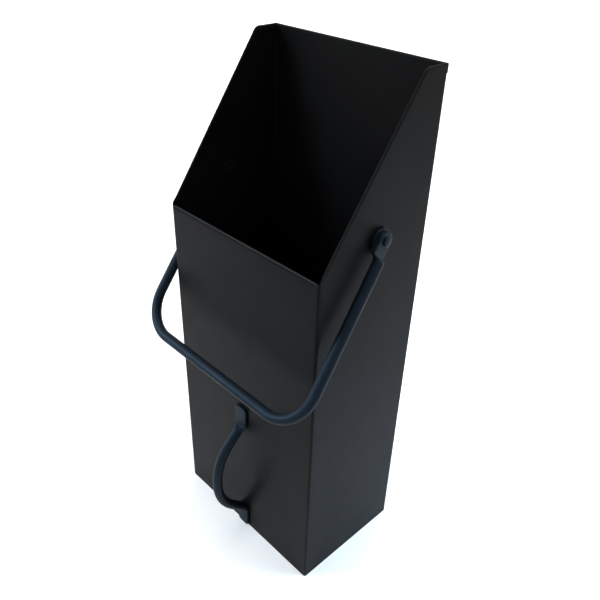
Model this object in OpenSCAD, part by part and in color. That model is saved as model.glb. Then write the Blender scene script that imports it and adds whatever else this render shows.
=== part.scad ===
// Tall coal hod of folded sheet steel: a slant-mouthed rectangular body,
// a swinging carrying bail and a fixed tipping handle low on the front.
// Millimetres. +Z is up, the floor is z = 0, the low front faces -Y.
// The origin is the middle of the base's underside.

/* [Body] */
// Outside width of the body
body_w = 195; // [160:1:230]
// Outside depth of the body, front to back
body_d = 129; // [110:1:160]
// Height of the back
body_h = 505; // [470:1:560]
// Height of the front
front_h = 359; // [330:1:370]
// Length of the level part at the top of each side, at the back
top_flat = 25; // [20:1:32]
// Radius of the corner between that level part and the slant
mouth_r = 8; // [6:0.5:12]
// Thickness of the sheet
sheet = 1; // [0.8:0.1:1.2]
// Outside radius of the two front folds
fold_r = 2; // [1.6:0.1:3]
// Depth of the folded hem round the mouth
hem = 6; // [4:0.5:7]

/* [Back panel] */
// Depth of the flanges that lie inside the sides
back_flange = 14; // [10:1:18]
// Depth of the hem that is folded down behind the top of the back
back_hem = 8; // [6:0.5:12]
// Space between the back and that hem
hem_gap = 0.3; // [0.1:0.1:0.6]

/* [Base pan] */
// Height of the base pan's flanges
pan_h = 12; // [8:1:13]

/* [Bail] */
// Diameter of the round bar of the bail and the tipping handle
bar_d = 10; // [8:0.5:11]
// Height of the bail's pivots
pivot_z = 376.5; // [360:0.5:380]
// Pivots' distance behind the middle of the body
pivot_y = 3.5; // [-6:0.5:6]
// Pivot to the middle of the crossbar
bail_len = 174.5; // [166:0.5:180]
// Bend radius of the bail, at the middle of the bar
bail_r = 35.5; // [26:0.5:40]
// How far each arm leans outwards from the pivot to the crossbar
bail_splay = 5; // [2:0.5:7]
// Angle of the arms from straight down, as the bail stands
bail_angle = 35.5; // [30:0.5:60]

/* [Flattened ends] */
// Width of the flattened ends of the bail
eye_w = 16.4; // [15:0.2:18]
// Thickness of the flattened ends
eye_t = 4.4; // [4:0.1:5]
// Pivot to where the round bar starts again
eye_len = 11.5; // [10:0.5:14]

/* [Pivots] */
// Diameter of the pivot rivets' shanks
rivet_d = 5; // [4:0.5:6]
// Diameter of the rivets' round heads
rivet_head_d = 8.5; // [8:0.1:10]
// Diameter of the washer between side and bail
washer_d = 20; // [18:0.5:22]
// Thickness of that washer
washer_t = 2; // [1.5:0.1:2.5]
// Diameter of the backing washer inside the body
backing_d = 18; // [16:0.5:20]

/* [Tipping handle] */
// Height of the middle of the tipping handle
tip_z = 87.5; // [87:0.5:110]
// Height between the creases where its two legs leave the body
tip_span = 124; // [119:1:126]
// Distance from the front to the middle of the grip
tip_out = 35; // [32:0.5:37]
// Drop of each leg from crease to grip
tip_drop = 34; // [30:1:36]
// Bend radius of the grip's corners, at the middle of the bar
tip_r = 62; // [40:1:66]
// Width of its flattened ends
tab_w = 15.6; // [14:0.2:17]
// Length of its flattened ends
tab_len = 24; // [20:1:25]
// Thickness of its flattened ends
tab_t = 3; // [2.6:0.1:4.5]

/* [Hidden] */
$fn = 96;

hw = body_w / 2;
hd = body_d / 2;
gap = 0.1;                                  // fit between sheets that lap
slant = atan2(body_h - front_h, body_d - top_flat);
step_y = -hd + 2 * sheet + gap;             // the front's level top ends here
bend_bar = bar_d / 2 - 0.1;                 // the bar's radius through a bend
bend_lap = 30;                              // how far a bend runs into the bars, in degrees times its radius
// Middle of the mouth's rounded corner, seen from the side
mc_z = body_h - mouth_r;
mc_y = -hd + ((mc_z - front_h) * cos(slant) + mouth_r) / sin(slant);

// Bail, in its own plane: x across, s down the arm from the pivot
washer_out = hw + washer_t;                 // outer face of the washer
eye_in = washer_out + 0.3;                  // inner face of the flattened end
eye_mid = eye_in + eye_t / 2;
arm_x0 = eye_in + 1 + bar_d / 2;            // arm's middle, produced up to the pivot
lean = atan2(bail_splay, bail_len);
corner_x = arm_x0 + bail_splay;
tang = bail_r / tan((90 - lean) / 2);       // corner to the bend's end
bend_x = corner_x - tang * sin(lean) - bail_r * cos(lean);
bend_s = bail_len - bail_r;
arm_s0 = eye_len + 6;                       // where the full round bar starts
bore_r = rivet_d / 2 + 0.06;

// Tipping handle, seen from the side: y out, z up from its middle
tab_mid = -hd - tab_t / 2;
grip_y = -hd - tip_out;
leg_turn = atan2(tab_mid - grip_y, tip_drop);      // leg's angle from vertical
leg_z0 = tip_span / 2;
grip_z0 = leg_z0 - tip_drop;
tip_tang = tip_r * tan(leg_turn / 2);

// ---------- shared outlines ----------

// Plan of the folded front and sides, i inside the outer face, open behind
module wrap_plan(i) {
    w = hw - i;
    f = -hd + i;
    r = fold_r - i;
    if (r > 0.05) {
        translate([-w, f + r]) square([2 * w, 2 * body_d]);
        translate([-w + r, f]) square([2 * (w - r), 2 * body_d]);
        for (s = [-1, 1]) translate([s * (w - r), f + r]) circle(r = r);
    } else translate([-w, f]) square([2 * w, 2 * body_d]);
}

// Side view of the body below a line e inside the mouth's edge
module mouth_side(e) {
    step_z = front_h + (step_y + hd) * tan(slant) - e / cos(slant);
    polygon([[-hd - 1, -1], [hd, -1], [hd, body_h - e], [mc_y, body_h - e],
             [mc_y - (mouth_r - e) * sin(slant), mc_z + (mouth_r - e) * cos(slant)],
             [step_y, step_z], [step_y, front_h - e], [-hd - 1, front_h - e]]);
    translate([mc_y, mc_z]) circle(r = mouth_r - e);
}

// A side view drawn as (y, z), carried across the body
module across(l) { rotate([90, 0, 90]) linear_extrude(height = l, center = true) children(); }

// Plan of the back and its two flanges, i inside the outer face, open in front
module back_plan(i) {
    w = hw - sheet - gap - i;
    b = hd - i;
    r = fold_r - i;
    translate([-w, b - r - 2 * body_d]) square([2 * w, 2 * body_d]);
    translate([-w + r, b - 2 * body_d]) square([2 * (w - r), 2 * body_d]);
    for (s = [-1, 1]) translate([s * (w - r), b - r]) circle(r = r);
}

// Something round that lies along the pivots' line, from x0 to x1
module on_pivot(x0, x1, r) {
    translate([x0, pivot_y, pivot_z]) rotate([0, 90, 0]) cylinder(r = r, h = x1 - x0);
}

// ---------- fixed pieces ----------

// Front and both sides, one sheet with two folds and a hem round the mouth
module body_wrap() color([0.16, 0.16, 0.17]) difference() {
    union() {
        intersection() {
            linear_extrude(height = body_h + 1) difference() { wrap_plan(0); wrap_plan(sheet); }
            across(body_w + 2) mouth_side(0);
        }
        intersection() {
            linear_extrude(height = body_h + 1) difference() { wrap_plan(sheet / 2); wrap_plan(2 * sheet); }
            across(body_w + 2) difference() { mouth_side(0); mouth_side(hem); }
        }
    }
    // The hem inside each side stops short of the back
    translate([-hw + sheet, hd - sheet - gap, body_h - hem - 1]) cube([body_w - 2 * sheet, 5, hem + 3]);
    // Holes for the pivot rivets
    on_pivot(-hw - 1, hw + 1, rivet_d / 2 + 0.05);
}

// Back with flanges inside the sides, and a hem behind its top that covers the sides' edges
module back_panel() color([0.15, 0.15, 0.16]) {
    w = hw - sheet - gap;
    translate([-w + fold_r, hd - sheet, 0]) cube([2 * (w - fold_r), sheet, body_h]);
    translate([-w, hd - sheet, 0]) cube([2 * w, sheet, pan_h + 2]);
    translate([0, 0, pan_h + 2]) linear_extrude(height = body_h - hem - 1 - pan_h - 2) intersection() {
        difference() { back_plan(0); back_plan(sheet); }
        translate([-hw, hd - back_flange]) square([body_w, back_flange + 1]);
    }
    translate([-w, hd - sheet, body_h - hem - 1]) cube([2 * w, sheet, hem + 1]);
    // Hem, as wide as the body
    translate([-w, hd - sheet / 2, body_h - back_hem]) cube([2 * w, sheet + hem_gap, back_hem]);
    translate([-hw, hd + hem_gap, body_h - back_hem]) cube([body_w, sheet, back_hem]);
}

// Base with flanges turned up inside the walls, notched at its corners
module base_pan() color([0.14, 0.14, 0.15]) {
    w = hw - sheet - gap;
    d = hd - sheet - gap;
    difference() {
        translate([-w, -d, 0]) cube([2 * w, 2 * d, pan_h]);
        translate([-w + sheet, -d + sheet, sheet]) cube([2 * (w - sheet), 2 * (d - sheet), pan_h]);
        for (sx = [-1, 1], sy = [-1, 1]) translate([sx * w, sy * d, 0]) {
            translate([0, 0, sheet]) cylinder(r = 3, h = pan_h);
            translate([0, 0, -1]) cylinder(r = 0.8, h = 3);
        }
    }
}

// Half of the tipping handle, above its middle
module tip_half() {
    cb = [grip_y + tip_r, grip_z0 - tip_tang];      // middle of the bend
    dir = [-sin(leg_turn), -cos(leg_turn)];         // down the leg
    t1 = cb + tip_r * [-cos(leg_turn), sin(leg_turn)];
    leg0 = [tab_mid, leg_z0] + 10 * dir;
    // Flattened end, lying on the front
    translate([0, -hd, 0]) rotate([90, 0, 0]) linear_extrude(height = tab_t) {
        translate([-tab_w / 2, leg_z0]) square([tab_w, tab_len - 3]);
        translate([-tab_w / 2 + 3, leg_z0]) square([tab_w - 6, tab_len]);
        for (s = [-1, 1]) translate([s * (tab_w / 2 - 3), leg_z0 + tab_len - 3]) circle(r = 3);
    }
    // From the flat to the round bar
    hull() {
        translate([-tab_w / 2 + 0.1, -hd - tab_t + 0.1, leg_z0]) cube([tab_w - 0.2, tab_t - 0.2, 0.7]);
        translate([0, leg0[0], leg0[1]]) rotate([180 - leg_turn, 0, 0]) cylinder(r = bar_d / 2 - 0.1, h = 0.5, $fn = 32);
    }
    // Leg
    translate([0, leg0[0], leg0[1]]) rotate([180 - leg_turn, 0, 0]) cylinder(r = bar_d / 2, h = norm(leg0 - t1));
    // Bend, drawn thinner where the bar stretches, its ends inside the leg and the grip
    translate([0, cb[0], cb[1]]) rotate([90, 0, 90]) rotate([0, 0, 180 - leg_turn - bend_lap / tip_r])
        rotate_extrude(angle = leg_turn + 2 * bend_lap / tip_r) translate([tip_r, 0]) circle(r = bend_bar);
}

// Fixed handle low on the front, for tipping the coal out
module tipping_handle() color([0.09, 0.10, 0.12]) translate([0, 0, tip_z]) {
    tip_half();
    mirror([0, 0, 1]) tip_half();
    // Grip
    translate([0, grip_y, tip_tang - grip_z0]) cylinder(r = bar_d / 2, h = 2 * (grip_z0 - tip_tang));
}

// Rivet through the side, its round head outside the bail's end, turned about its own axis
module pivot_rivet(s) color([0.12, 0.14, 0.17]) mirror([s < 0 ? 1 : 0, 0, 0]) {
    head0 = eye_in + eye_t + 0.25;
    head_h = 2.4;
    rs = (pow(rivet_head_d / 2, 2) + pow(head_h, 2)) / (2 * head_h);
    inner = hw - sheet - 1.5;
    translate([0, pivot_y, pivot_z]) rotate([0, 90, 0]) rotate_extrude() {
        translate([0, inner - 1.5]) square([4.25, 1.5]);
        translate([0, inner - 1]) square([rivet_d / 2, head0 - inner + 1.5]);
        intersection() {
            translate([0, head0 + head_h - rs]) circle(r = rs);
            translate([0, head0]) square([rivet_head_d, head_h + 1]);
        }
    }
}

// Washer that keeps the bail's end off the paint
module bail_washer(s) color([0.11, 0.12, 0.14]) mirror([s < 0 ? 1 : 0, 0, 0]) difference() {
    on_pivot(hw, washer_out, washer_d / 2);
    on_pivot(hw - 1, washer_out + 1, rivet_d / 2 + 0.1);
}

// Washer inside the body that spreads the rivet's pull over the thin side
module backing_washer(s) color([0.13, 0.13, 0.14]) mirror([s < 0 ? 1 : 0, 0, 0]) difference() {
    on_pivot(hw - sheet - 1.5, hw - sheet, backing_d / 2);
    on_pivot(hw - sheet - 3, hw, rivet_d / 2 + 0.1);
}

// ---------- moving piece ----------

// One arm: flattened eye, joggle, round bar and bend. z is minus s here
module bail_arm() {
    difference() {
        union() {
            translate([eye_in, 0, 0]) rotate([0, 90, 0]) cylinder(r = eye_w / 2, h = eye_t);
            translate([eye_in, -eye_w / 2, -eye_len]) cube([eye_t, eye_w, eye_len]);
        }
        translate([eye_in - 1, 0, 0]) rotate([0, 90, 0]) cylinder(r = bore_r, h = eye_t + 2);
    }
    hull() {
        translate([eye_in + 0.1, -eye_w / 2 + 0.1, -eye_len]) cube([eye_t - 0.2, eye_w - 0.2, 0.5]);
        translate([arm_x0 + arm_s0 * tan(lean), 0, -arm_s0]) rotate([0, 180 - lean, 0]) cylinder(r = bar_d / 2 - 0.1, h = 0.5, $fn = 32);
    }
    translate([arm_x0 + arm_s0 * tan(lean), 0, -arm_s0]) rotate([0, 180 - lean, 0])
        cylinder(r = bar_d / 2, h = norm([corner_x - arm_x0 - arm_s0 * tan(lean), bail_len - arm_s0]) - tang);
    translate([bend_x, 0, -bend_s]) rotate([90, 0, 0]) rotate([0, 0, -90 - bend_lap / bail_r])
        rotate_extrude(angle = 90 + lean + 2 * bend_lap / bail_r) translate([bail_r, 0]) circle(r = bend_bar);
}

// Carrying bail, swinging on the two rivets
module bail() color([0.09, 0.10, 0.13]) translate([0, pivot_y, pivot_z]) rotate([-bail_angle, 0, 0]) {
    bail_arm();
    mirror([1, 0, 0]) bail_arm();
    // Crossbar
    translate([-bend_x, 0, -bail_len]) rotate([0, 90, 0]) cylinder(r = bar_d / 2, h = 2 * bend_x);
}

body_wrap();
back_panel();
base_pan();
tipping_handle();
bail();
pivot_rivet(1);  // pivot_rivet_right
pivot_rivet(-1);  // pivot_rivet_left
bail_washer(1);  // bail_washer_right
bail_washer(-1);  // bail_washer_left
backing_washer(1);  // backing_washer_right
backing_washer(-1);  // backing_washer_left
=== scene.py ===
import math
import bpy
import bmesh
import numpy as np
from mathutils import Matrix, Vector

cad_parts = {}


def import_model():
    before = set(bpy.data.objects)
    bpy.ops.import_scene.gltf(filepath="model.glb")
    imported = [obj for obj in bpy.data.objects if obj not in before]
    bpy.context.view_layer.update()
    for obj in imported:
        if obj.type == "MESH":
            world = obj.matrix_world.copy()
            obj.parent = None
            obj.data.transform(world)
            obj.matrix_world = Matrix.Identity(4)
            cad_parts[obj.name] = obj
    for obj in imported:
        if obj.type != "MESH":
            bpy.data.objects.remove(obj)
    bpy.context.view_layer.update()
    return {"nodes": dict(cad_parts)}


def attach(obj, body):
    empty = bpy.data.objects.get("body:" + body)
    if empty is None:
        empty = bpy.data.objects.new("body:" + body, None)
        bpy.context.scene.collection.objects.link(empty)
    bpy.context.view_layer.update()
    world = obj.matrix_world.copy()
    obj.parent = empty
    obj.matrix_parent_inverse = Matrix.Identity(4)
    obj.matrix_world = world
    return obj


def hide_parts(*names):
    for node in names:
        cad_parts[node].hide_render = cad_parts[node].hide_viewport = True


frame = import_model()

# ---------------------------------------------------------------- sizes, in millimetres
HW, HD = 97.5, 64.5            # half width and half depth of the body
SH = 1.0                       # sheet
BH, FH = 505.0, 359.0          # height of the back and of the front
MR = 8.0                      # rounded corner of the mouth
FR = 2.0                       # outside radius of the front folds
HEM = 6.0                      # depth of the hem
SLANT = math.atan2(BH - FH, 2 * HD - 25.0)
MC_Z = BH - MR
MC_Y = -HD + ((MC_Z - FH) * math.cos(SLANT) + MR) / math.sin(SLANT)
PIV_Y, PIV_Z = 3.5, 376.5      # the bail's pivots
BAIL_L, BAIL_R, SPLAY, BAIL_A = 174.5, 35.5, 5.0, 35.5
EYE_A, EYE_B, EYE_L = 8.2, 2.2, 11.5   # half width, half thickness and length of a flattened end
BAR = 5.0                      # radius of the round bar
TIP_Z = 87.5


# ---------------------------------------------------------------- camera
def make_camera():
    az, el, roll = math.radians(45.245), math.radians(32.772), math.radians(1.894)
    back = Vector((math.sin(az) * math.cos(el), -math.cos(az) * math.cos(el), math.sin(el)))
    right = Vector((math.cos(az), math.sin(az), 0))
    up = back.cross(right)
    right2 = math.cos(roll) * right + math.sin(roll) * up
    up2 = -math.sin(roll) * right + math.cos(roll) * up
    data = bpy.data.cameras.new("camera")
    data.sensor_width = 36.0
    data.lens = 36.0 * 660.23 / 600.0
    data.clip_start, data.clip_end = 0.01, 100.0
    cam = bpy.data.objects.new("camera", data)
    rot = Matrix((right2, up2, back)).transposed()
    cam.matrix_world = Matrix.Translation((0.390617, -0.375396, 0.621193)) @ rot.to_4x4()
    bpy.context.scene.collection.objects.link(cam)
    bpy.context.scene.camera = cam


make_camera()


# ---------------------------------------------------------------- mesh helpers
def make_object(name, verts, faces, sharp=34.0, mm=True):
    """A mesh object with smooth faces, and edges sharper than the given angle kept sharp."""
    me = bpy.data.meshes.new(name)
    bm = bmesh.new()
    k = 0.001 if mm else 1.0
    vs = [bm.verts.new((v[0] * k, v[1] * k, v[2] * k)) for v in verts]
    for f in faces:
        g = []
        for i in f:
            if not g or g[-1] != i:
                g.append(i)
        if len(g) > 1 and g[0] == g[-1]:
            g.pop()
        if len(set(g)) >= 3:
            try:
                bm.faces.new([vs[i] for i in g])
            except ValueError:
                pass
    bm.normal_update()
    bmesh.ops.recalc_face_normals(bm, faces=bm.faces)
    for f in bm.faces:
        f.smooth = True
    lim = math.radians(sharp)
    for e in bm.edges:
        if len(e.link_faces) == 2 and e.calc_face_angle(0) > lim:
            e.smooth = False
    bm.to_mesh(me)
    bm.free()
    ob = bpy.data.objects.new(name, me)
    bpy.context.scene.collection.objects.link(ob)
    return ob


def closed_rings(rings, cap0=True, cap1=True):
    """Faces of a tube through rings of equal length, with flat caps."""
    verts, faces, n = [], [], len(rings[0])
    for r in rings:
        verts += [tuple(p) for p in r]
    for i in range(len(rings) - 1):
        a, b = i * n, (i + 1) * n
        for j in range(n):
            faces.append((a + j, a + (j + 1) % n, b + (j + 1) % n, b + j))
    if cap0:
        faces.append(tuple(range(n))[::-1])
    if cap1:
        faces.append(tuple(range((len(rings) - 1) * n, len(rings) * n)))
    return verts, faces


def smooth(t):
    t = max(0.0, min(1.0, t))
    return t * t * (3 - 2 * t)


def lerp(a, b, t):
    return a + (b - a) * t


# Low, slow unevenness of a thin sheet: inwards only, in mm
def dent(u, z, seed, depth=0.30):
    v = (math.sin(u * 0.031 + seed) * math.cos(z * 0.0138 + seed * 1.7)
         + 0.6 * math.sin(u * 0.017 - z * 0.0225 + seed * 2.3)
         + 0.35 * math.sin(u * 0.052 + z * 0.037 + seed * 0.7))
    return depth * (0.5 + 0.25 * v)


# ---------------------------------------------------------------- folded body
def wrap_path(u, off):
    """Plan position of a point of the folded sheet. u runs along the outer face from the left side's back edge, round the front, to the right side's back edge; off is inwards."""
    side = 2 * HD - FR            # straight length of a side
    arc = FR * math.pi / 2
    front = 2 * (HW - FR)
    if u <= side:
        return (-HW + off, HD - u)
    u -= side
    if u <= arc:
        t = u / FR
        return (-HW + FR - (FR - off) * math.cos(t), -HD + FR - (FR - off) * math.sin(t))
    u -= arc
    if u <= front:
        return (-HW + FR + u, -HD + off)
    u -= front
    if u <= arc:
        t = u / FR
        return (HW - FR + (FR - off) * math.sin(t), -HD + FR - (FR - off) * math.cos(t))
    u -= arc
    return (HW - off, -HD + FR + u)


SIDE_L = 2 * HD - FR
ARC_L = FR * math.pi / 2
FRONT_L = 2 * (HW - FR)
TOTAL_L = 2 * SIDE_L + 2 * ARC_L + FRONT_L


def rim_side(n_level, n_arc, n_slant):
    """(distance from the back edge, height, inwards direction) along a side's mouth edge, from the back to the front fold."""
    out = []
    y_end = HD - 1.25             # the hem stops short of the back
    for i in range(n_level):
        y = lerp(y_end, MC_Y, i / n_level)
        out.append((HD - y, BH, 0.0, -1.0))
    for i in range(n_arc):
        a = math.pi / 2 + (SLANT) * i / n_arc
        y = MC_Y + MR * math.cos(a)
        z = MC_Z + MR * math.sin(a)
        out.append((HD - y, z, math.cos(a), -math.sin(a)))
    y0, z0 = MC_Y - MR * math.sin(SLANT), MC_Z + MR * math.cos(SLANT)
    y1 = -HD + FR
    z1 = FH + FR * math.tan(SLANT)
    for i in range(n_slant + 1):
        t = i / n_slant
        y, z = lerp(y0, y1, t), lerp(z0, z1, t)
        out.append((HD - y, z, -math.sin(SLANT), -math.cos(SLANT)))
    return out


def body_wrap_mesh():
    # columns: rim point (u, z), direction into the sheet (du, dz), hem share, foot u
    cols = []
    left = rim_side(5, 9, 30)
    cols.append([0.0, BH, 0.0, -1.0, 0.0, 0.0])
    cols.append([1.1, BH, 0.0, -1.0, 0.0, 1.1])
    for i, (u, z, du, dz) in enumerate(left):
        cols.append([u, z, du, dz, 1.0, u])
    # last stretch of the slant before the fold: the hem stops short of it
    last = cols.pop()
    u1, z1 = last[0], last[1]
    ux, uz = math.cos(SLANT), math.sin(SLANT)
    for back, hem in ((3.4, 1.0), (3.0, 0.0), (1.2, 0.0)):
        cols.append([u1 - back * ux, z1 + back * uz, last[2], last[3], hem, u1 - back * ux])
    # round the fold
    m = 7
    for i in range(m + 1):
        t = i / m
        z = lerp(z1, FH, smooth(t * 1.35))
        a = lerp(SLANT, 0.0, smooth(t * 1.2))
        cols.append([u1 + ARC_L * t, z, -math.sin(a) * (1 - t), -math.cos(a), 0.0, u1 + ARC_L * t])
    # front
    f0 = SIDE_L + ARC_L
    cols.append([f0 + 0.9, FH, 0, -1, 0.0, f0 + 0.9])
    for i in range(31):
        u = lerp(f0 + 1.2, f0 + FRONT_L / 2, i / 30)
        cols.append([u, FH, 0, -1, 1.0, u])
    # the other half is this one mirrored
    half = cols
    other = []
    for c in reversed(half[:-1]):
        other.append([TOTAL_L - c[0], c[1], -c[2], c[3], c[4], TOTAL_L - c[5]])
    cols = half + other
    # feet spread evenly over each face, so that the rows run straight
    foot = [c[5] for c in cols]
    foot[0], foot[-1] = 0.0, TOTAL_L
    rows_z = 34                   # rows of each face below the hem
    rings = []
    for ci, (u, z, du, dz, hem, _) in enumerate(cols):
        fu = foot[ci]

        def at(w, off):
            return (u + du * w, z + dz * w, off)

        ring = []
        w_in = 7.0
        # outer face, from the floor up
        zt = z + dz * w_in
        ut = u + du * w_in
        for r in range(rows_z + 1):
            t = r / rows_z
            uu, zz = lerp(fu, ut, smooth(max(0.0, (t - 0.25) / 0.75))), lerp(0.0, zt, t)
            ring.append((uu, zz, 0.0))
        ring.append(at(5.0, 0.0))
        # the sheet rolls over into the hem, on the front with a wider shoulder outside
        wide = hem if SIDE_L + ARC_L < u < TOTAL_L - SIDE_L - ARC_L else 0.0
        ring.append(at(lerp(3.0, 3.2, wide), 0.0))
        r = lerp(0.5, 1.0, hem)
        ring.append(at(lerp(r, 2.1, wide), lerp(0.0, 0.09, wide)))
        k = 6
        for i in range(1, k):
            a = math.pi * i / k
            roll = ((1.25, 0.36), (0.55, 0.80), (0.14, 1.22), (0.0, 1.55), (0.22, 1.88))[i - 1]
            ring.append(at(lerp(r - r * math.sin(a), roll[0], wide), lerp(r - r * math.cos(a), roll[1], wide)))
        ring.append(at(lerp(r, 0.8, hem), 2 * r))
        th = 2 * r
        ring.append(at(lerp(2.2, HEM - 0.35, hem), th))
        ring.append(at(lerp(2.5, HEM - 0.08, hem), th - lerp(0.0, 0.12, hem)))
        ring.append(at(lerp(2.8, HEM, hem), lerp(SH, SH + 0.35, hem)))
        ring.append(at(lerp(3.1, HEM + 0.02, hem), SH))
        for q in range(rows_z + 1):
            t = 1 - q / rows_z
            uu, zz = lerp(fu, ut, smooth(max(0.0, (t - 0.25) / 0.75))), lerp(0.0, zt, t)
            ring.append((uu, zz, SH))
        rings.append(ring)
    verts = []
    nr = len(rings[0])
    for ring in rings:
        for (uu, zz, off) in ring:
            uu = min(max(uu, 0.0), TOTAL_L)
            # distance to the nearest fold, edge or end, for the sheet's unevenness
            marks = [0, SIDE_L + ARC_L / 2, SIDE_L + ARC_L * 1.5 + FRONT_L, TOTAL_L]
            near = min(abs(uu - q) for q in marks)
            top = FH if SIDE_L < uu < TOTAL_L - SIDE_L else FH + (BH - FH) * max(0.0, 1 - min(uu, TOTAL_L - uu) / (2 * HD)) * 0.96
            edge = smooth(near / 26.0) * smooth(zz / 22.0) * smooth((top - 8 - zz) / 26.0)
            d = dent(uu, zz, 1.3, 0.36) * edge
            x, y = wrap_path(uu, off)
            x2, y2 = wrap_path(uu, off + d)
            verts.append((x2, y2, zz))
    faces = []
    nc = len(rings)
    for i in range(nc - 1):
        for j in range(nr):
            a, b = i * nr + j, i * nr + (j + 1) % nr
            c, d = (i + 1) * nr + (j + 1) % nr, (i + 1) * nr + j
            faces.append((a, b, c, d))
    # back edges, ruled between the outer and the inner face
    for base in (0, (nc - 1) * nr):
        inner0 = base + nr - 1    # foot of the inner face
        for j in range(rows_z):
            faces.append((base + j, base + j + 1, inner0 - j - 1, inner0 - j))
        # round the rim
        faces.append(tuple(range(base + rows_z, inner0 - rows_z + 1)))
    return make_object("body_wrap_form", verts, faces, 32)


# ---------------------------------------------------------------- back
def rounded_box(x0, x1, y0, y1, z0, z1, r, seg=2):
    """Closed box with all edges rounded, as vertices and faces."""
    bm = bmesh.new()
    bmesh.ops.create_cube(bm, size=1.0)
    for v in bm.verts:
        v.co = Vector((x0 if v.co.x < 0 else x1, y0 if v.co.y < 0 else y1, z0 if v.co.z < 0 else z1))
    bmesh.ops.bevel(bm, geom=list(bm.edges), offset=r, segments=seg, profile=0.5, affect="EDGES", clamp_overlap=True)
    bm.verts.index_update()
    vs = [tuple(v.co) for v in bm.verts]
    fs = [tuple(v.index for v in f.verts) for f in bm.faces]
    bm.free()
    return vs, fs


def join(parts):
    verts, faces = [], []
    for vs, fs in parts:
        o = len(verts)
        verts += list(vs)
        faces += [tuple(i + o for i in f) for f in fs]
    return verts, faces


def back_panel_mesh():
    w = HW - SH - 0.1             # half width between the sides
    b = HD
    flange = 14.0
    # plan path of the outer face: left flange's front edge, fold, back, fold, right flange's front edge
    arc = FR * math.pi / 2
    straight = 2 * (w - FR)
    fl = flange - FR

    def plan(u, off):
        if u <= fl:
            return (-w + off, b - flange + u)
        u -= fl
        if u <= arc:
            t = u / FR
            return (-w + FR - (FR - off) * math.cos(t), b - FR + (FR - off) * math.sin(t))
        u -= arc
        if u <= straight:
            return (-w + FR + u, b - off)
        u -= straight
        if u <= arc:
            t = u / FR
            return (w - FR + (FR - off) * math.sin(t), b - FR + (FR - off) * math.cos(t))
        u -= arc
        return (w - off, b - FR - u)

    total = 2 * fl + 2 * arc + straight
    us = [0, 0.3] + [fl * k / 3 for k in (1, 2)] + [fl - 0.1] + [fl + arc * k / 6 for k in range(7)]
    us += [fl + arc + straight * k / 40 for k in range(1, 40)]
    us += [total - q for q in reversed(us[:12])]
    z0, z1, rows = 0.0, 498.0, 44
    rings = []
    for u in us:
        flange_here = min(u, total - u)
        hi = lerp(494.0, z1, smooth((flange_here - 1.0) / 5.0))
        # the flanges start above the base pan's own flanges
        if flange_here < fl - 0.05:
            levels = [lerp(14.0, hi, r / rows) for r in range(rows + 1)]
        elif flange_here < fl + arc + 0.05:
            levels = [0.0, 12.4] + [lerp(14.4, hi, r / (rows - 2)) for r in range(rows - 1)]
        else:
            levels = [lerp(0.0, hi, r / rows) for r in range(rows + 1)]
        ring = [(u, z, 0.0) for z in levels] + [(u, z, SH) for z in reversed(levels)]
        rings.append(ring)
    verts, faces = [], []
    nr = len(rings[0])
    for ring in rings:
        for (u, z, off) in ring:
            near = min(abs(u - fl - arc / 2), abs(u - total + fl + arc / 2))
            inside = fl + arc < u < total - fl - arc
            e = smooth(near / 30.0) * smooth(z / 24.0) * smooth((490 - z) / 30.0) if inside else 0.0
            d = dent(u + 37, z, 4.1, 0.42) * e
            x, y = plan(u, off + d)
            here = min(u, total - u)
            if z < 13.0 and fl - 0.05 < here < fl + arc + 0.05:
                # below the flanges the sheet runs flat to its edge
                x, y = (-1 if u < total / 2 else 1) * (w - FR * (here - fl) / arc), b - off
            verts.append((x, y, z))
    for i in range(len(rings) - 1):
        for j in range(nr):
            faces.append((i * nr + j, i * nr + (j + 1) % nr, (i + 1) * nr + (j + 1) % nr, (i + 1) * nr + j))
    last = (len(rings) - 1) * nr
    for base in (0, last):
        for r in range(rows):
            faces.append((base + r, base + r + 1, base + nr - 2 - r, base + nr - 1 - r))
    main = (verts, faces)
    # top: the sheet rolls over backwards into a hem as wide as the body
    deep, out0, out1 = 8.0, 0.3, 1.3      # the hem's depth, and its inner and outer face behind the sheet
    ez = BH - deep
    mid_o, rad = (SH - out1) / 2, (SH + out1) / 2
    prof = [(SH, ez), (SH, BH - rad - 2.0), (SH, BH - rad)]
    for k in range(1, 12):
        a = math.pi * k / 12
        prof.append((mid_o + rad * math.cos(a), BH - rad + rad * math.sin(a)))
    prof += [(-out1, BH - rad), (-out1, ez + 3.0), (-out1, ez + 0.3), (-out1 + 0.1, ez + 0.08), (-out1 + 0.3, ez), (-out0 - 0.25, ez), (-out0 - 0.06, ez + 0.06), (-out0, ez + 0.25),
             (-out0 + 0.05, BH - 2.4), (-0.05, BH - 2.2), (0.0, BH - 2.6), (0.0, ez)]
    xs = [-HW, -HW + 0.12, -HW + 0.4, -w - 0.1, -w] + [lerp(-w, w, k / 40) for k in range(1, 40)] + [w, w + 0.1, HW - 0.4, HW - 0.12, HW]
    rings = []
    for x in xs:
        only = abs(x) > w + 0.05                        # beyond the back's own edges there is only the hem
        corner = max(0.0, abs(x) - (HW - 0.4)) / 0.4    # rounding of its ends
        drop = 0.35 * (1 - math.sqrt(max(0.0, 1 - corner * corner)))
        ring = []
        for i, (o, z) in enumerate(prof):
            oo = min(o, -out0) if only else o
            oo = lerp(oo, -(out0 + out1) / 2, drop * 0.8) if only else oo
            zz = z
            if z > BH - rad:
                zz = z - drop
            elif z < ez + 1.0:
                zz = z + drop
            ring.append((x, HD - oo, zz))
        rings.append(ring)
    top = closed_rings(rings)
    v, f = join([main, top])
    return make_object("back_panel_form", v, f, 32)


# ---------------------------------------------------------------- bars with flattened ends
NC, NM = 7, 5                 # points of each rounded corner and of each flat face between them


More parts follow.
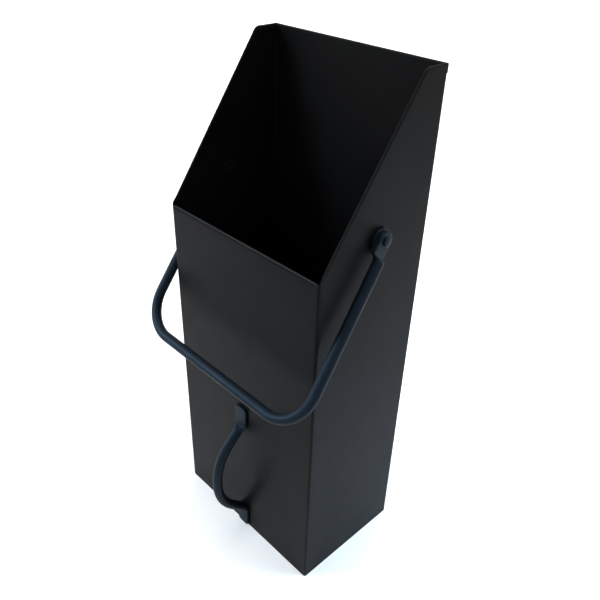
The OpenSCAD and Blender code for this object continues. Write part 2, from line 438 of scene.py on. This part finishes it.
def rrect(a, b, r):
    """Rounded rectangle (half width a, half thickness b): corner arcs and face points in a fixed order."""
    r = min(r, a, b)
    pts = []

    def arc(cx, cy, t0, t1):
        for i in range(NC):
            t = math.radians(lerp(t0, t1, i / (NC - 1)))
            pts.append((cx + r * math.cos(t), cy + r * math.sin(t)))

    arc(a - r, b - r, 90, 0)
    arc(a - r, -b + r, 0, -90)
    for i in range(1, NM + 1):
        pts.append((lerp(a - r, -a + r, i / (NM + 1)), -b))
    arc(-a + r, -b + r, -90, -180)
    arc(-a + r, b - r, 180, 90)
    for i in range(1, NM + 1):
        pts.append((lerp(-a + r, a - r, i / (NM + 1)), b))
    return pts


N_RING = 4 * NC + 2 * NM


def put(ring2, centre, wide, thick):
    """Ring in space: its width lies along wide and its thickness along thick."""
    return [tuple(centre[k] + p[0] * wide[k] + p[1] * thick[k] for k in range(3)) for p in ring2]


def flat_end(outline, b, r, base_ring, place, bore=None):
    """Closes a swept bar with a flattened end. outline is a list of (s, w, ns, nw) from the right foot, round, to the left foot. base_ring is the index list of the first ring of the sweep.
    place(s, w, t) gives the point in space. Returns vertices (after the sweep's own) and faces."""
    verts, faces = [], []
    prof = []
    for i in range(NC):
        t = math.radians(lerp(90, 0, i / (NC - 1)))
        prof.append((r - r * math.cos(t), b - r + r * math.sin(t)))
    for i in range(NC):
        t = math.radians(lerp(0, -90, i / (NC - 1)))
        prof.append((r - r * math.cos(t), -b + r + r * math.sin(t)))
    right = list(range(0, 2 * NC))                       # right-hand edge of the base ring, top to bottom
    low = list(range(2 * NC, 2 * NC + NM))               # under face, right to left
    left = list(range(2 * NC + NM, 4 * NC + NM))         # left-hand edge, bottom to top
    top = list(range(4 * NC + NM, 4 * NC + 2 * NM))      # upper face, left to right
    rings = [[base_ring[i] for i in right]]
    count = 0

    def new(p):
        nonlocal count
        verts.append(p)
        count += 1
        return ("n", count - 1)

    for (s, w, ns, nw) in outline[1:-1]:
        rings.append([new(place(s - ns * d, w - nw * d, t)) for (d, t) in prof])
    rings.append([base_ring[i] for i in reversed(left)])
    for i in range(len(rings) - 1):
        for j in range(2 * NC - 1):
            faces.append((rings[i][j], rings[i][j + 1], rings[i + 1][j + 1], rings[i + 1][j]))
    upper = [q[0] for q in rings] + [base_ring[i] for i in top]
    lower = [q[-1] for q in rings] + [base_ring[i] for i in reversed(low)]
    if bore is None:
        faces.append(tuple(upper))
        faces.append(tuple(reversed(lower)))
    else:
        # quads from the outline in to the bore, seen from its middle
        def angle_of(sw):
            return math.atan2(sw[1], sw[0])
        sw_ring = [(outline[0][0], outline[0][1] - r)] + [(s - ns * r, w - nw * r) for (s, w, ns, nw) in outline[1:-1]] + [(outline[-1][0], outline[-1][1] + r)]
        a = outline[0][1] - r
        sw_face = [(outline[0][0], lerp(-a, a, i / (NM + 1))) for i in range(1, NM + 1)]
        loop = sw_ring + sw_face
        m = len(loop)
        for sign, edge in ((1, upper), (-1, lower)):
            mid, ring_b, ring_c = [], [], []
            for (s, w) in loop:
                t = angle_of((s, w))
                q = math.hypot(s, w)
                rr = lerp(bore + 0.25, q, 0.45)
                mid.append(new(place(rr * math.cos(t), rr * math.sin(t), sign * b)))
                ring_b.append(new(place((bore + 0.25) * math.cos(t), (bore + 0.25) * math.sin(t), sign * b)))
                ring_c.append(new(place(bore * math.cos(t), bore * math.sin(t), sign * (b - 0.25))))
            for i in range(m):
                k = (i + 1) % m
                faces.append((edge[i], edge[k], mid[k], mid[i]))
                faces.append((mid[i], mid[k], ring_b[k], ring_b[i]))
                faces.append((ring_b[i], ring_b[k], ring_c[k], ring_c[i]))
            if sign == 1:
                first = ring_c
            else:
                for i in range(m):
                    k = (i + 1) % m
                    faces.append((first[i], first[k], ring_c[k], ring_c[i]))
    return verts, faces


def build_bar(name, rings, end0, end1):
    """rings: the sweep. end0 and end1: functions that close it, given the index list of their ring."""
    verts = [tuple(p) for r in rings for p in r]
    faces = []
    n = N_RING
    for i in range(len(rings) - 1):
        for j in range(n):
            faces.append((i * n + j, i * n + (j + 1) % n, (i + 1) * n + (j + 1) % n, (i + 1) * n + j))
    for end, base in ((end0, 0), (end1, (len(rings) - 1) * n)):
        v, f = end(list(range(base, base + n)))
        o = len(verts)
        verts += v
        for face in f:
            faces.append(tuple(i[1] + o if isinstance(i, tuple) else i for i in face))
    return make_object(name, verts, faces, 40)


def bail_mesh():
    lean = math.atan2(SPLAY, BAIL_L)
    eye_mid = 99.8 + EYE_B
    arm_x0 = 99.8 + 1 + BAR
    corner_x = arm_x0 + SPLAY
    tang = BAIL_R / math.tan((math.pi / 2 - lean) / 2)
    bx = corner_x - tang * math.sin(lean) - BAIL_R * math.cos(lean)
    bs = BAIL_L - BAIL_R
    s0 = EYE_L + 6.0
    ca, sa = math.cos(math.radians(BAIL_A)), math.sin(math.radians(BAIL_A))

    def world(x, s, n):
        """x across, s down the arm, n out of the loop's plane, towards the front and up."""
        return (x, PIV_Y - s * sa - n * ca, PIV_Z - s * ca + n * sa)

    # stations down the right arm: (centre x, centre s, tangent (x, s), a, b, r)
    st = []
    for i in range(13):
        t = i / 12
        s = lerp(EYE_L, s0, t)
        e = smooth(t)
        e2 = smooth(min(1.0, t * 1.15))
        st.append((lerp(eye_mid, arm_x0 + s0 * math.tan(lean), e), s, (0.0, 1.0), lerp(EYE_A, BAR, e2), lerp(EYE_B, BAR, e), lerp(0.85, BAR, smooth(t * 1.05))))
    x_end, s_end = bx + BAIL_R * math.cos(lean), bs + BAIL_R * math.sin(-lean)
    xa, sa0 = arm_x0 + s0 * math.tan(lean), s0
    for i in range(1, 21):
        t = i / 20
        st.append((lerp(xa, x_end, t), lerp(sa0, s_end, t), (math.sin(lean), math.cos(lean)), BAR, BAR, BAR))
    for i in range(1, 21):
        ang = lerp(-lean, math.pi / 2, i / 20)
        st.append((bx + BAIL_R * math.cos(ang), bs + BAIL_R * math.sin(ang), (-math.sin(ang), math.cos(ang)), BAR, BAR, BAR))
    for i in range(1, 16):
        st.append((lerp(bx, 0.0, i / 15), BAIL_L, (-1.0, 0.0), BAR, BAR, BAR))
    full = list(st)
    for (x, s, (tx, ts), a, b, r) in reversed(st[:-1]):
        full.append((-x, s, (tx, -ts), a, b, r))
    rings = []
    for (x, s, (tx, ts), a, b, r) in full:
        lx, ls = ts, -tx                  # across the bar, in the loop's plane: outwards on the right arm
        ring = [world(x + q[1] * lx, s + q[1] * ls, q[0]) for q in rrect(a, b, r)]
        rings.append(ring)

    def outline(sign):
        o = [(EYE_L, EYE_A, 0, 1)]
        for k in (8.6, 5.8, 2.9):
            o.append((k, EYE_A, 0, 1))
        for i in range(25):
            t = math.pi * i / 24
            o.append((-EYE_A * math.sin(t), EYE_A * math.cos(t), -math.sin(t), math.cos(t)))
        for k in (2.9, 5.8, 8.6):
            o.append((k, -EYE_A, 0, -1))
        o.append((EYE_L, -EYE_A, 0, -1))
        return o

    def end_right(base):
        return flat_end(outline(1), EYE_B, 0.85, base, lambda s, w, t: world(eye_mid + t, s, w), bore=2.56)

    def end_left(base):
        # on the left arm the ring's upper face looks inwards
        return flat_end(outline(1), EYE_B, 0.85, base, lambda s, w, t: world(-eye_mid + t, s, w), bore=2.56)

    return build_bar("bail_form", rings, end_right, end_left)


def tipping_handle_mesh():
    tab_a, tab_b, tab_l = 7.8, 1.5, 24.0
    span, out, drop, R = 124.0, 35.0, 34.0, 62.0
    y_mid = -HD - tab_b
    grip_y = -HD - out
    turn = math.atan2(y_mid - grip_y, drop)
    z0 = span / 2
    g0 = z0 - drop
    tang = R * math.tan(turn / 2)
    cb = (grip_y + R, g0 - tang)
    d = (-math.sin(turn), -math.cos(turn))
    # path of the middle line in (y, z), upper half, from the tab's crease to the middle of the grip
    st = []
    bend = 5.0                            # radius of the crease
    bt = bend * math.tan(turn / 2)
    # crease: an arc from straight down to the leg's direction, the tab's plate staying on the sheet
    cy, cz = y_mid - bend, z0 + bt
    for i in range(9):
        a = turn * i / 8
        st.append((cy + bend * math.cos(a), cz - bend * math.sin(a), (-math.sin(a), -math.cos(a)), None))
    p0 = (st[-1][0], st[-1][1])
    t1 = (cb[0] - R * math.cos(turn), cb[1] + R * math.sin(turn))
    leg = math.hypot(t1[0] - p0[0], t1[1] - p0[1])
    for i in range(1, 15):
        t = i / 14
        st.append((lerp(p0[0], t1[0], t), lerp(p0[1], t1[1], t), d, None))
    for i in range(1, 15):
        a = lerp(turn, 0.0, i / 14)
        st.append((cb[0] - R * math.cos(a), cb[1] + R * math.sin(a), (-math.sin(a), -math.cos(a)), None))
    for i in range(1, 5):
        st.append((grip_y, lerp(cb[1], 0.0, i / 4), (0.0, -1.0), None))
    # length along the path, for the change from flat to round
    acc, shaped = 0.0, []
    for i, (y, z, tg, _) in enumerate(st):
        if i:
            acc += math.hypot(y - st[i - 1][0], z - st[i - 1][1])
        e = smooth((acc - 1.0) / 10.5)
        e2 = smooth((acc - 0.5) / 9.0)
        shaped.append((y, z, tg, lerp(tab_a, BAR, e2), lerp(tab_b, BAR, e), lerp(0.8, BAR, smooth((acc - 1.0) / 9.5))))
    full = list(shaped)
    for (y, z, (ty, tz), a, b, r) in reversed(shaped[:-1]):
        full.append((y, -z, (-ty, tz), a, b, r))
    rings = []
    for (y, z, (ty, tz), a, b, r) in full:
        ly, lz = -tz * -1.0, ty * -1.0      # across the bar: outwards from the body where the path runs down
        ly, lz = tz, -ty
        rings.append([(q[0], y + q[1] * ly, TIP_Z + z + q[1] * lz) for q in rrect(a, b, r)])

    z_tab = cz                            # the flat runs from here to its end

    def outline():
        end = z0 + tab_l - z_tab
        c = 3.0
        o = [(0.0, tab_a, 0, 1), (-end * 0.3, tab_a, 0, 1), (-end * 0.6, tab_a, 0, 1)]
        for i in range(8):
            t = math.radians(lerp(0, 90, i / 7))
            o.append((-(end - c) - c * math.sin(t), tab_a - c + c * math.cos(t), -math.sin(t), math.cos(t)))
        for i in range(8):
            t = math.radians(lerp(90, 180, i / 7))
            o.append((-(end - c) - c * math.sin(t), -tab_a + c + c * math.cos(t), -math.sin(t), math.cos(t)))
        o += [(-end * 0.6, -tab_a, 0, -1), (-end * 0.3, -tab_a, 0, -1), (0.0, -tab_a, 0, -1)]
        return o

    def end_up(base):
        return flat_end(outline(), tab_b, 0.8, base, lambda s, w, t: (w, y_mid - t, TIP_Z + z_tab - s))

    def end_low(base):
        return flat_end(outline(), tab_b, 0.8, base, lambda s, w, t: (w, y_mid - t, TIP_Z - z_tab + s))

    return build_bar("tipping_handle_form", rings, end_up, end_low)


# ---------------------------------------------------------------- turned pieces
def turned(name, prof, sign, n=56, closed=True):
    """Revolves (radius, x) points about the pivots' line."""
    rings = []
    for k in range(n):
        a = 2 * math.pi * k / n
        rings.append([(sign * x, PIV_Y + r * math.cos(a), PIV_Z + r * math.sin(a)) for (r, x) in prof])
    verts = [p for ring in rings for p in ring]
    faces, m = [], len(prof)
    for i in range(n):
        i2 = (i + 1) % n
        for j in range(m if closed else m - 1):
            j2 = (j + 1) % m
            faces.append((i * m + j, i * m + j2, i2 * m + j2, i2 * m + j))
    if not closed:
        faces.append(tuple(i * m for i in range(n)))
        faces.append(tuple(i * m + m - 1 for i in reversed(range(n))))
    return make_object(name, verts, faces, 40)


def washer(name, sign, x0, x1, r_in, r_out, e=0.35):
    prof = [(r_in, x0), (r_out - e, x0), (r_out - e * 0.3, x0 + e * 0.3), (r_out, x0 + e), (r_out, x1 - e),
            (r_out - e * 0.3, x1 - e * 0.3), (r_out - e, x1), (r_in + 0.2, x1), (r_in, x1 - 0.2)]
    return turned(name, prof, sign)


def rivet(name, sign):
    shank, head, head0, hh = 2.5, 4.25, 104.45, 2.4
    inner = HW - SH - 1.5
    prof = [(0.02, inner - 1.5), (3.6, inner - 1.5), (4.1, inner - 1.25), (4.25, inner - 0.8), (4.25, inner), (shank, inner), (shank, head0)]
    prof += [(head - 0.12, head0), (head, head0 + 0.12), (head, head0 + 0.35)]
    for k in range(1, 11):
        a = math.pi / 2 * k / 10.6
        prof.append((head * math.cos(a) ** 0.62, head0 + 0.35 + (hh - 0.35) * math.sin(a) ** 0.62))
    prof.append((0.02, head0 + hh))
    return turned(name, prof, sign, closed=False)


# ---------------------------------------------------------------- materials
def paint(name, base, rough, grain, grain_size, speck=0.0, spec=0.5, tint=None, spec_tint=None):
    """Painted steel: base colour with slow variation, fine grain in the bump, and slightly uneven gloss."""
    m = bpy.data.materials.new(name)
    m.use_nodes = True
    nt = m.node_tree
    nt.nodes.clear()
    out = nt.nodes.new("ShaderNodeOutputMaterial")
    b = nt.nodes.new("ShaderNodeBsdfPrincipled")
    nt.links.new(b.outputs[0], out.inputs[0])
    tc = nt.nodes.new("ShaderNodeTexCoord")

    def noise(scale, detail, rough_=0.5):
        n = nt.nodes.new("ShaderNodeTexNoise")
        n.inputs["Scale"].default_value = scale
        n.inputs["Detail"].default_value = detail
        n.inputs["Roughness"].default_value = rough_
        nt.links.new(tc.outputs["Object"], n.inputs["Vector"])
        return n

    # slow change of colour over the sheet
    slow = noise(9.0, 3.0, 0.6)
    ramp = nt.nodes.new("ShaderNodeValToRGB")
    ramp.color_ramp.elements[0].position = 0.3
    ramp.color_ramp.elements[1].position = 0.72
    lo = [c * (1 - 0.10) for c in base]
    hi = [c * (1 + 0.10) for c in (tint or base)]
    ramp.color_ramp.elements[0].color = (*lo, 1)
    ramp.color_ramp.elements[1].color = (*hi, 1)
    nt.links.new(slow.outputs["Fac"], ramp.inputs["Fac"])
    nt.links.new(ramp.outputs["Color"], b.inputs["Base Color"])
    # gloss
    mid = noise(55.0, 4.0, 0.6)
    rr = nt.nodes.new("ShaderNodeMapRange")
    rr.inputs["From Min"].default_value = 0.3
    rr.inputs["From Max"].default_value = 0.7
    rr.inputs["To Min"].default_value = rough - 0.025
    rr.inputs["To Max"].default_value = rough + 0.025
    nt.links.new(mid.outputs["Fac"], rr.inputs["Value"])
    nt.links.new(rr.outputs["Result"], b.inputs["Roughness"])
    b.inputs["Specular IOR Level"].default_value = spec
    b.inputs["IOR"].default_value = 1.5
    if spec_tint:
        b.inputs["Specular Tint"].default_value = (*spec_tint, 1)
    # grain
    fine = noise(grain_size, 3.0, 0.55)
    bump = nt.nodes.new("ShaderNodeBump")
    bump.inputs["Strength"].default_value = 1.0
    bump.inputs["Distance"].default_value = grain
    nt.links.new(fine.outputs["Fac"], bump.inputs["Height"])
    nt.links.new(bump.outputs["Normal"], b.inputs["Normal"])
    return m


sheet_paint = paint("sheet_paint", (0.0024, 0.0023, 0.0024), 0.40, 0.00006, 1500.0, spec=0.053, tint=(0.0028, 0.0029, 0.0032))
bar_paint = paint("bar_paint", (0.0028, 0.0040, 0.0060), 0.56, 0.00003, 1100.0, spec=0.19, spec_tint=(0.38, 0.68, 1.0))
fixing_paint = paint("fixing_paint", (0.0034, 0.0046, 0.0064), 0.50, 0.00003, 1300.0, spec=0.19, spec_tint=(0.42, 0.71, 1.0))
# Darker, less glossy copy of the fixings' paint for the pieces inside the body: the sheet's black, and painted shade
# for the dim inside
shaded_inner_paint = paint("inner_fixing_shaded_black", (0.0026, 0.0026, 0.0028), 0.46, 0.00003, 1300.0, spec=0.06)


# ---------------------------------------------------------------- pieces
made = [
    (body_wrap_mesh(), "hod", "body_wrap", "panel_black", sheet_paint),
    (back_panel_mesh(), "hod", "back_panel", "panel_black", sheet_paint),
    (tipping_handle_mesh(), "hod", "tipping_handle", "bar_black", bar_paint),
    (bail_mesh(), "bail", "bail", "bar_black", bar_paint),
    (rivet("pivot_rivet_right_form", 1), "hod", "pivot_rivet_right", "fixing_black", fixing_paint),
    (rivet("pivot_rivet_left_form", -1), "hod", "pivot_rivet_left", "fixing_black", fixing_paint),
    (washer("bail_washer_right_form", 1, 97.5, 99.5, 2.6, 10.0), "hod", "bail_washer_right", "fixing_black", fixing_paint),
    (washer("bail_washer_left_form", -1, 97.5, 99.5, 2.6, 10.0), "hod", "bail_washer_left", "fixing_black", fixing_paint),
    # the backing washers inside the body get the darker copy: the sheet's black, and painted shade for the dim inside
    (washer("backing_washer_right_form", 1, 95.0, 96.5, 2.6, 9.0, 0.25), "hod", "backing_washer_right", "fixing_black", shaded_inner_paint),
    (washer("backing_washer_left_form", -1, 95.0, 96.5, 2.6, 9.0, 0.25), "hod", "backing_washer_left", "fixing_black", shaded_inner_paint),
]
for ob, body, node, slot, mat in made:
    ob.data.materials.append(mat)
    if node.startswith("pivot_rivet"):
        # the head inside the body gets the darker copy: the sheet's black, and painted shade for the dim inside of the
        # body
        ob.data.materials.append(shaded_inner_paint)
        for poly in ob.data.polygons:
            if abs(poly.center.x) < (HW - SH / 2) * 0.001:
                poly.material_index = 1
    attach(ob, body)
    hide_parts(node)

base = frame["nodes"]["base_pan"]
for i in range(max(1, len(base.material_slots))):
    if base.material_slots:
        base.material_slots[i].material = sheet_paint
    else:
        base.data.materials.append(sheet_paint)


# ---------------------------------------------------------------- floor and light
def floor_material():
    m = bpy.data.materials.new("floor_pale")
    m.use_nodes = True
    b = m.node_tree.nodes["Principled BSDF"]
    b.inputs["Base Color"].default_value = (0.86, 0.86, 0.86, 1)
    b.inputs["Roughness"].default_value = 0.9
    b.inputs["Specular IOR Level"].default_value = 0.1
    # away from the object the floor and its wall glow a little, so that they stay pale
    nt = m.node_tree
    tc = nt.nodes.new("ShaderNodeTexCoord")
    dist = nt.nodes.new("ShaderNodeVectorMath")
    dist.operation = "LENGTH"
    nt.links.new(tc.outputs["Object"], dist.inputs[0])
    far = nt.nodes.new("ShaderNodeMapRange")
    far.interpolation_type = "SMOOTHSTEP"
    far.inputs["From Min"].default_value = 0.8
    far.inputs["From Max"].default_value = 2.4
    far.inputs["To Min"].default_value = 0.0
    far.inputs["To Max"].default_value = 0.47
    nt.links.new(dist.outputs["Value"], far.inputs["Value"])
    b.inputs["Emission Color"].default_value = (1.0, 1.0, 1.0, 1)
    nt.links.new(far.outputs["Result"], b.inputs["Emission Strength"])
    m.cycles.emission_sampling = "NONE"
    return m


def make_floor():
    """A wide floor that turns up into a wall all round."""
    prof = [(0.0, 0.0), (0.6, 0.0), (1.5, 0.0), (3.0, 0.0), (4.5, 0.0)]
    for k in range(1, 13):
        a = math.pi / 2 * k / 12
        prof.append((4.5 + 3.0 * math.sin(a), 3.0 - 3.0 * math.cos(a)))
    prof.append((7.5, 5.0))
    n = 96
    verts, faces = [(0, 0, 0)], []
    for (r, z) in prof[1:]:
        for k in range(n):
            a = 2 * math.pi * k / n
            verts.append((r * math.cos(a), r * math.sin(a), z))
    for k in range(n):
        faces.append((0, 1 + k, 1 + (k + 1) % n))
    for i in range(len(prof) - 2):
        for k in range(n):
            a, b = 1 + i * n, 1 + (i + 1) * n
            faces.append((a + k, b + k, b + (k + 1) % n, a + (k + 1) % n))
    ob = make_object("floor", verts, faces, 60, mm=False)
    ob.data.materials.append(floor_material())
    return ob


make_floor()


def area(name, loc, target, size, power, color=(1, 1, 1), spread=180.0):
    d = bpy.data.lights.new(name, "AREA")
    d.shape = "DISK"
    d.energy = power
    d.color = color
    d.size = size
    d.spread = math.radians(spread)
    ob = bpy.data.objects.new(name, d)
    ob.location = loc
    ob.rotation_euler = (Vector(target) - Vector(loc)).to_track_quat("-Z", "Y").to_euler()
    ob.visible_camera = False
    bpy.context.scene.collection.objects.link(ob)
    return ob


area("pool_light", (-0.02, 0.0, 2.2), (-0.02, 0.0, 0), 0.8, 1.3, (1.0, 0.93, 0.86), 60)
area("back_light", (-1.98, 2.05, 3.0), (-1.98, 2.05, 0), 5.0, 76, (1.0, 1.0, 1.0), 40)
area("side_light", (0.60, 0.66, 2.0), (0.42, 0.46, 0), 0.8, 6.6, (0.86, 0.94, 1.0), 70)
area("near_light", (0.34, 0.24, 1.6), (0.22, 0.13, 0), 0.3, 0.42, (0.32, 0.62, 1.0), 26)
area("left_light", (-0.68, -0.50, 2.0), (-0.64, -0.47, 0), 0.3, 0.6, (1.0, 0.96, 0.92), 30)
area("window_light", (-1.9, -1.95, 1.9), (0, 0, 0.25), 1.5, 7.6, (0.78, 0.90, 1.0), 32)
area("front_light", (-0.16, -0.40, 1.2), (-0.07, -0.17, 0), 0.2, 0.05, (1.0, 0.93, 0.84), 22)

world = bpy.data.worlds.new("studio")
world.use_nodes = True
world.node_tree.nodes["Background"].inputs[0].default_value = (1.0, 1.0, 1.0, 1)
world.node_tree.nodes["Background"].inputs[1].default_value = 0.24
bpy.context.scene.world = world
bpy.context.scene.view_settings.view_transform = "Standard"
bpy.context.scene.view_settings.look = "None"
bpy.context.scene.view_settings.exposure = 0.0
bpy.context.scene.view_settings.gamma = 1.0
